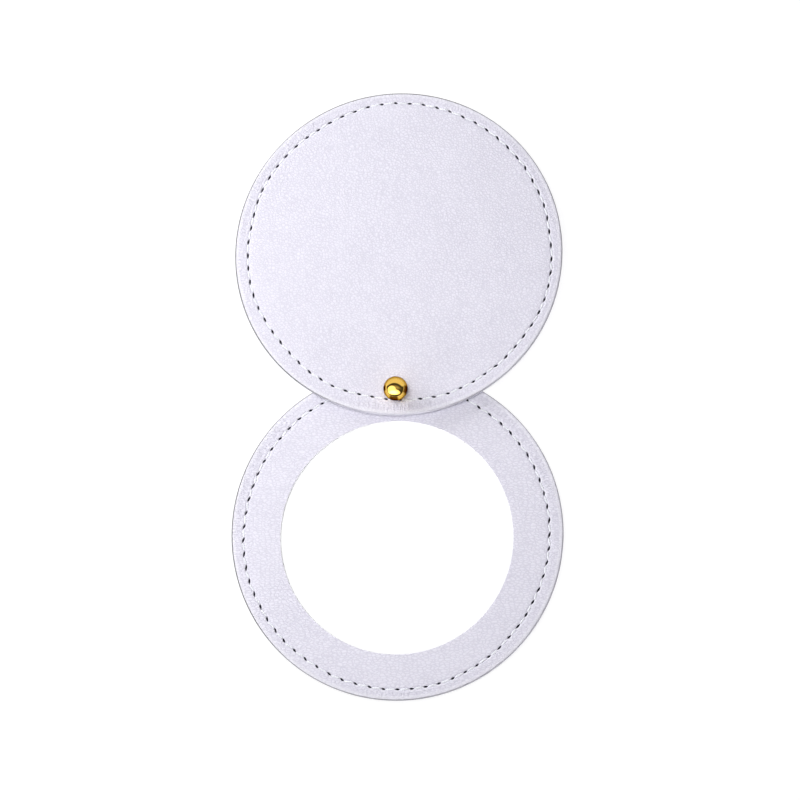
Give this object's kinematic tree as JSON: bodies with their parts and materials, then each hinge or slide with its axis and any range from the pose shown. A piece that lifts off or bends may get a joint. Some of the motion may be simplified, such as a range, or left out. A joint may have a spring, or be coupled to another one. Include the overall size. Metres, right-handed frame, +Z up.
{
  "type": "compact mirror",
  "caption": "Round leather compact mirror: a stitched mirror half and a matching cover that swivels about a ball-headed stud near the rim.",
  "frame": {"origin": "on the stud's axis, in the plane of the mirror half's back: the middle of the open part's base", "axes": "+Z up out of the mirror's face, +Y along the open part from the mirror half towards the cover"},
  "size_m": [0.082, 0.152, 0.0115],
  "materials": {
    "lilac_leather": "fine pebbled grain, satin",
    "white_thread": "twisted sewing thread",
    "edge_paint": "smooth grey edge paint",
    "grey_board": "pressed fibre board",
    "silvered_glass": "polished",
    "clear_tape": "double-sided film",
    "gold_plate": "polished gold plating"
  },
  "bodies": {
    "mirror_half": {"back_leather": "lilac_leather", "back_board": "grey_board", "mirror_tape": "clear_tape", "mirror_glass": "silvered_glass", "mirror_spacer_ring": "grey_board", "front_leather_ring": "lilac_leather", "mirror_edge_coat": "edge_paint", "mirror_needle_thread": "white_thread", "mirror_bobbin_thread": "white_thread", "ball_stud": "gold_plate", "stud_screw": "gold_plate"},
    "cover_half": {"cover_lining_leather": "lilac_leather", "cover_board": "grey_board", "cover_face_leather": "lilac_leather", "cover_edge_coat": "edge_paint", "cover_needle_thread": "white_thread", "cover_bobbin_thread": "white_thread"}
  },
  "joints": [
    {"name": "cover_swivel", "type": "hinge", "parent": "mirror_half", "child": "cover_half", "pos_m": [0, 0, 0.0044], "axis": [0, 0, 1], "continuous": true}
  ]
}
